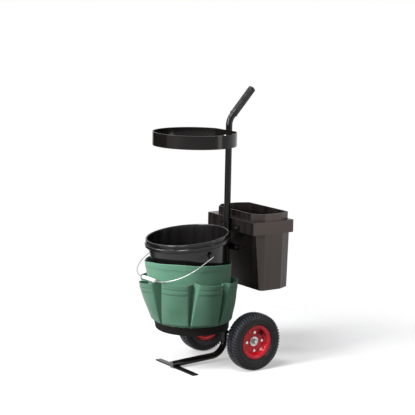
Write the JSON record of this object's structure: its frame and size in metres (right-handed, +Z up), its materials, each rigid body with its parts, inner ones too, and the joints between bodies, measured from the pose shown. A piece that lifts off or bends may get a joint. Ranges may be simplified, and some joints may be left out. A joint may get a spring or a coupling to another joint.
{
  "type": "garden trolley",
  "caption": "Two-wheeled garden trolley: bent-tube post with foot bar and grip, tool hoop, bucket in a pocketed bag, rear bin, air-filled wheels on pressed rims.",
  "frame": {"origin": "on the floor, under the middle of the trolley's overall box at rest", "axes": "+Z up, -Y to the front where the foot bar and bag are, +X to the right seen from the front"},
  "size_m": [0.3942, 0.562, 1.0587],
  "materials": {
    "black_paint": "gloss",
    "grip_rubber": "satin",
    "grey_plastic": "matte",
    "zinc": "bright",
    "tyre_rubber": "matte",
    "tube_rubber": "matte",
    "red_paint": "gloss",
    "bearing_steel": "bright",
    "valve_rubber": "matte",
    "bucket_plastic": "satin",
    "wire_zinc": "bright",
    "white_plastic": "gloss",
    "bag_green": "woven",
    "bag_black": "woven",
    "bin_plastic": "satin"
  },
  "bodies": {
    "frame": {"spine_tube": "black_paint", "handle_grip": "grip_rubber", "foot_bar": "black_paint", "foot_plug": "grey_plastic", "tool_hoop": "black_paint", "hoop_bolt": "zinc", "hoop_nut": "zinc", "axle": "black_paint", "axle_collars": "zinc", "axle_washers": "zinc", "axle_nuts": "zinc", "bucket": "bucket_plastic", "bucket_bolts": "zinc", "bucket_spacers": "grey_plastic", "post_inserts": "zinc", "bag_sleeve": "bag_green", "bag_base": "bag_black", "bin_body": "bin_plastic", "bin_collar": "bin_plastic", "bin_straps": "black_paint", "bin_spacers": "grey_plastic", "bin_bolts": "zinc", "bin_nuts": "zinc", "pocket_1": "bag_green", "pocket_2": "bag_green", "pocket_3": "bag_green", "pocket_4": "bag_green", "pocket_5": "bag_green", "pocket_6": "bag_green", "pocket_7": "bag_green"},
    "right_wheel": {"right_tyre": "tyre_rubber", "right_air_tube": "tube_rubber", "right_rim_outer": "red_paint", "right_rim_inner": "red_paint", "right_hub": "zinc", "right_bearings": "bearing_steel", "right_rim_bolts": "zinc", "right_rim_nuts": "zinc", "right_valve": "valve_rubber"},
    "left_wheel": {"left_tyre": "tyre_rubber", "left_air_tube": "tube_rubber", "left_rim_outer": "red_paint", "left_rim_inner": "red_paint", "left_hub": "zinc", "left_bearings": "bearing_steel", "left_rim_bolts": "zinc", "left_rim_nuts": "zinc", "left_valve": "valve_rubber"},
    "bail": {"bail_wire": "wire_zinc"},
    "bail_grip": {"bail_grip": "white_plastic"}
  },
  "joints": [
    {"name": "right_wheel_spin", "type": "hinge", "parent": "frame", "child": "right_wheel", "pos_m": [0.165, 0.09098, 0.11], "axis": [1, 0, 0], "continuous": true},
    {"name": "left_wheel_spin", "type": "hinge", "parent": "frame", "child": "left_wheel", "pos_m": [-0.165, 0.09098, 0.11], "axis": [1, 0, 0], "continuous": true},
    {"name": "bail_swing", "type": "hinge", "parent": "frame", "child": "bail", "pos_m": [0, -0.09993, 0.45432], "axis": [-1, 0, 0], "range_deg": [0, 165]},
    {"name": "bail_grip_turn", "type": "hinge", "parent": "bail", "child": "bail_grip", "pos_m": [0, -0.27398, 0.35785], "axis": [1, 0, 0], "continuous": true}
  ]
}
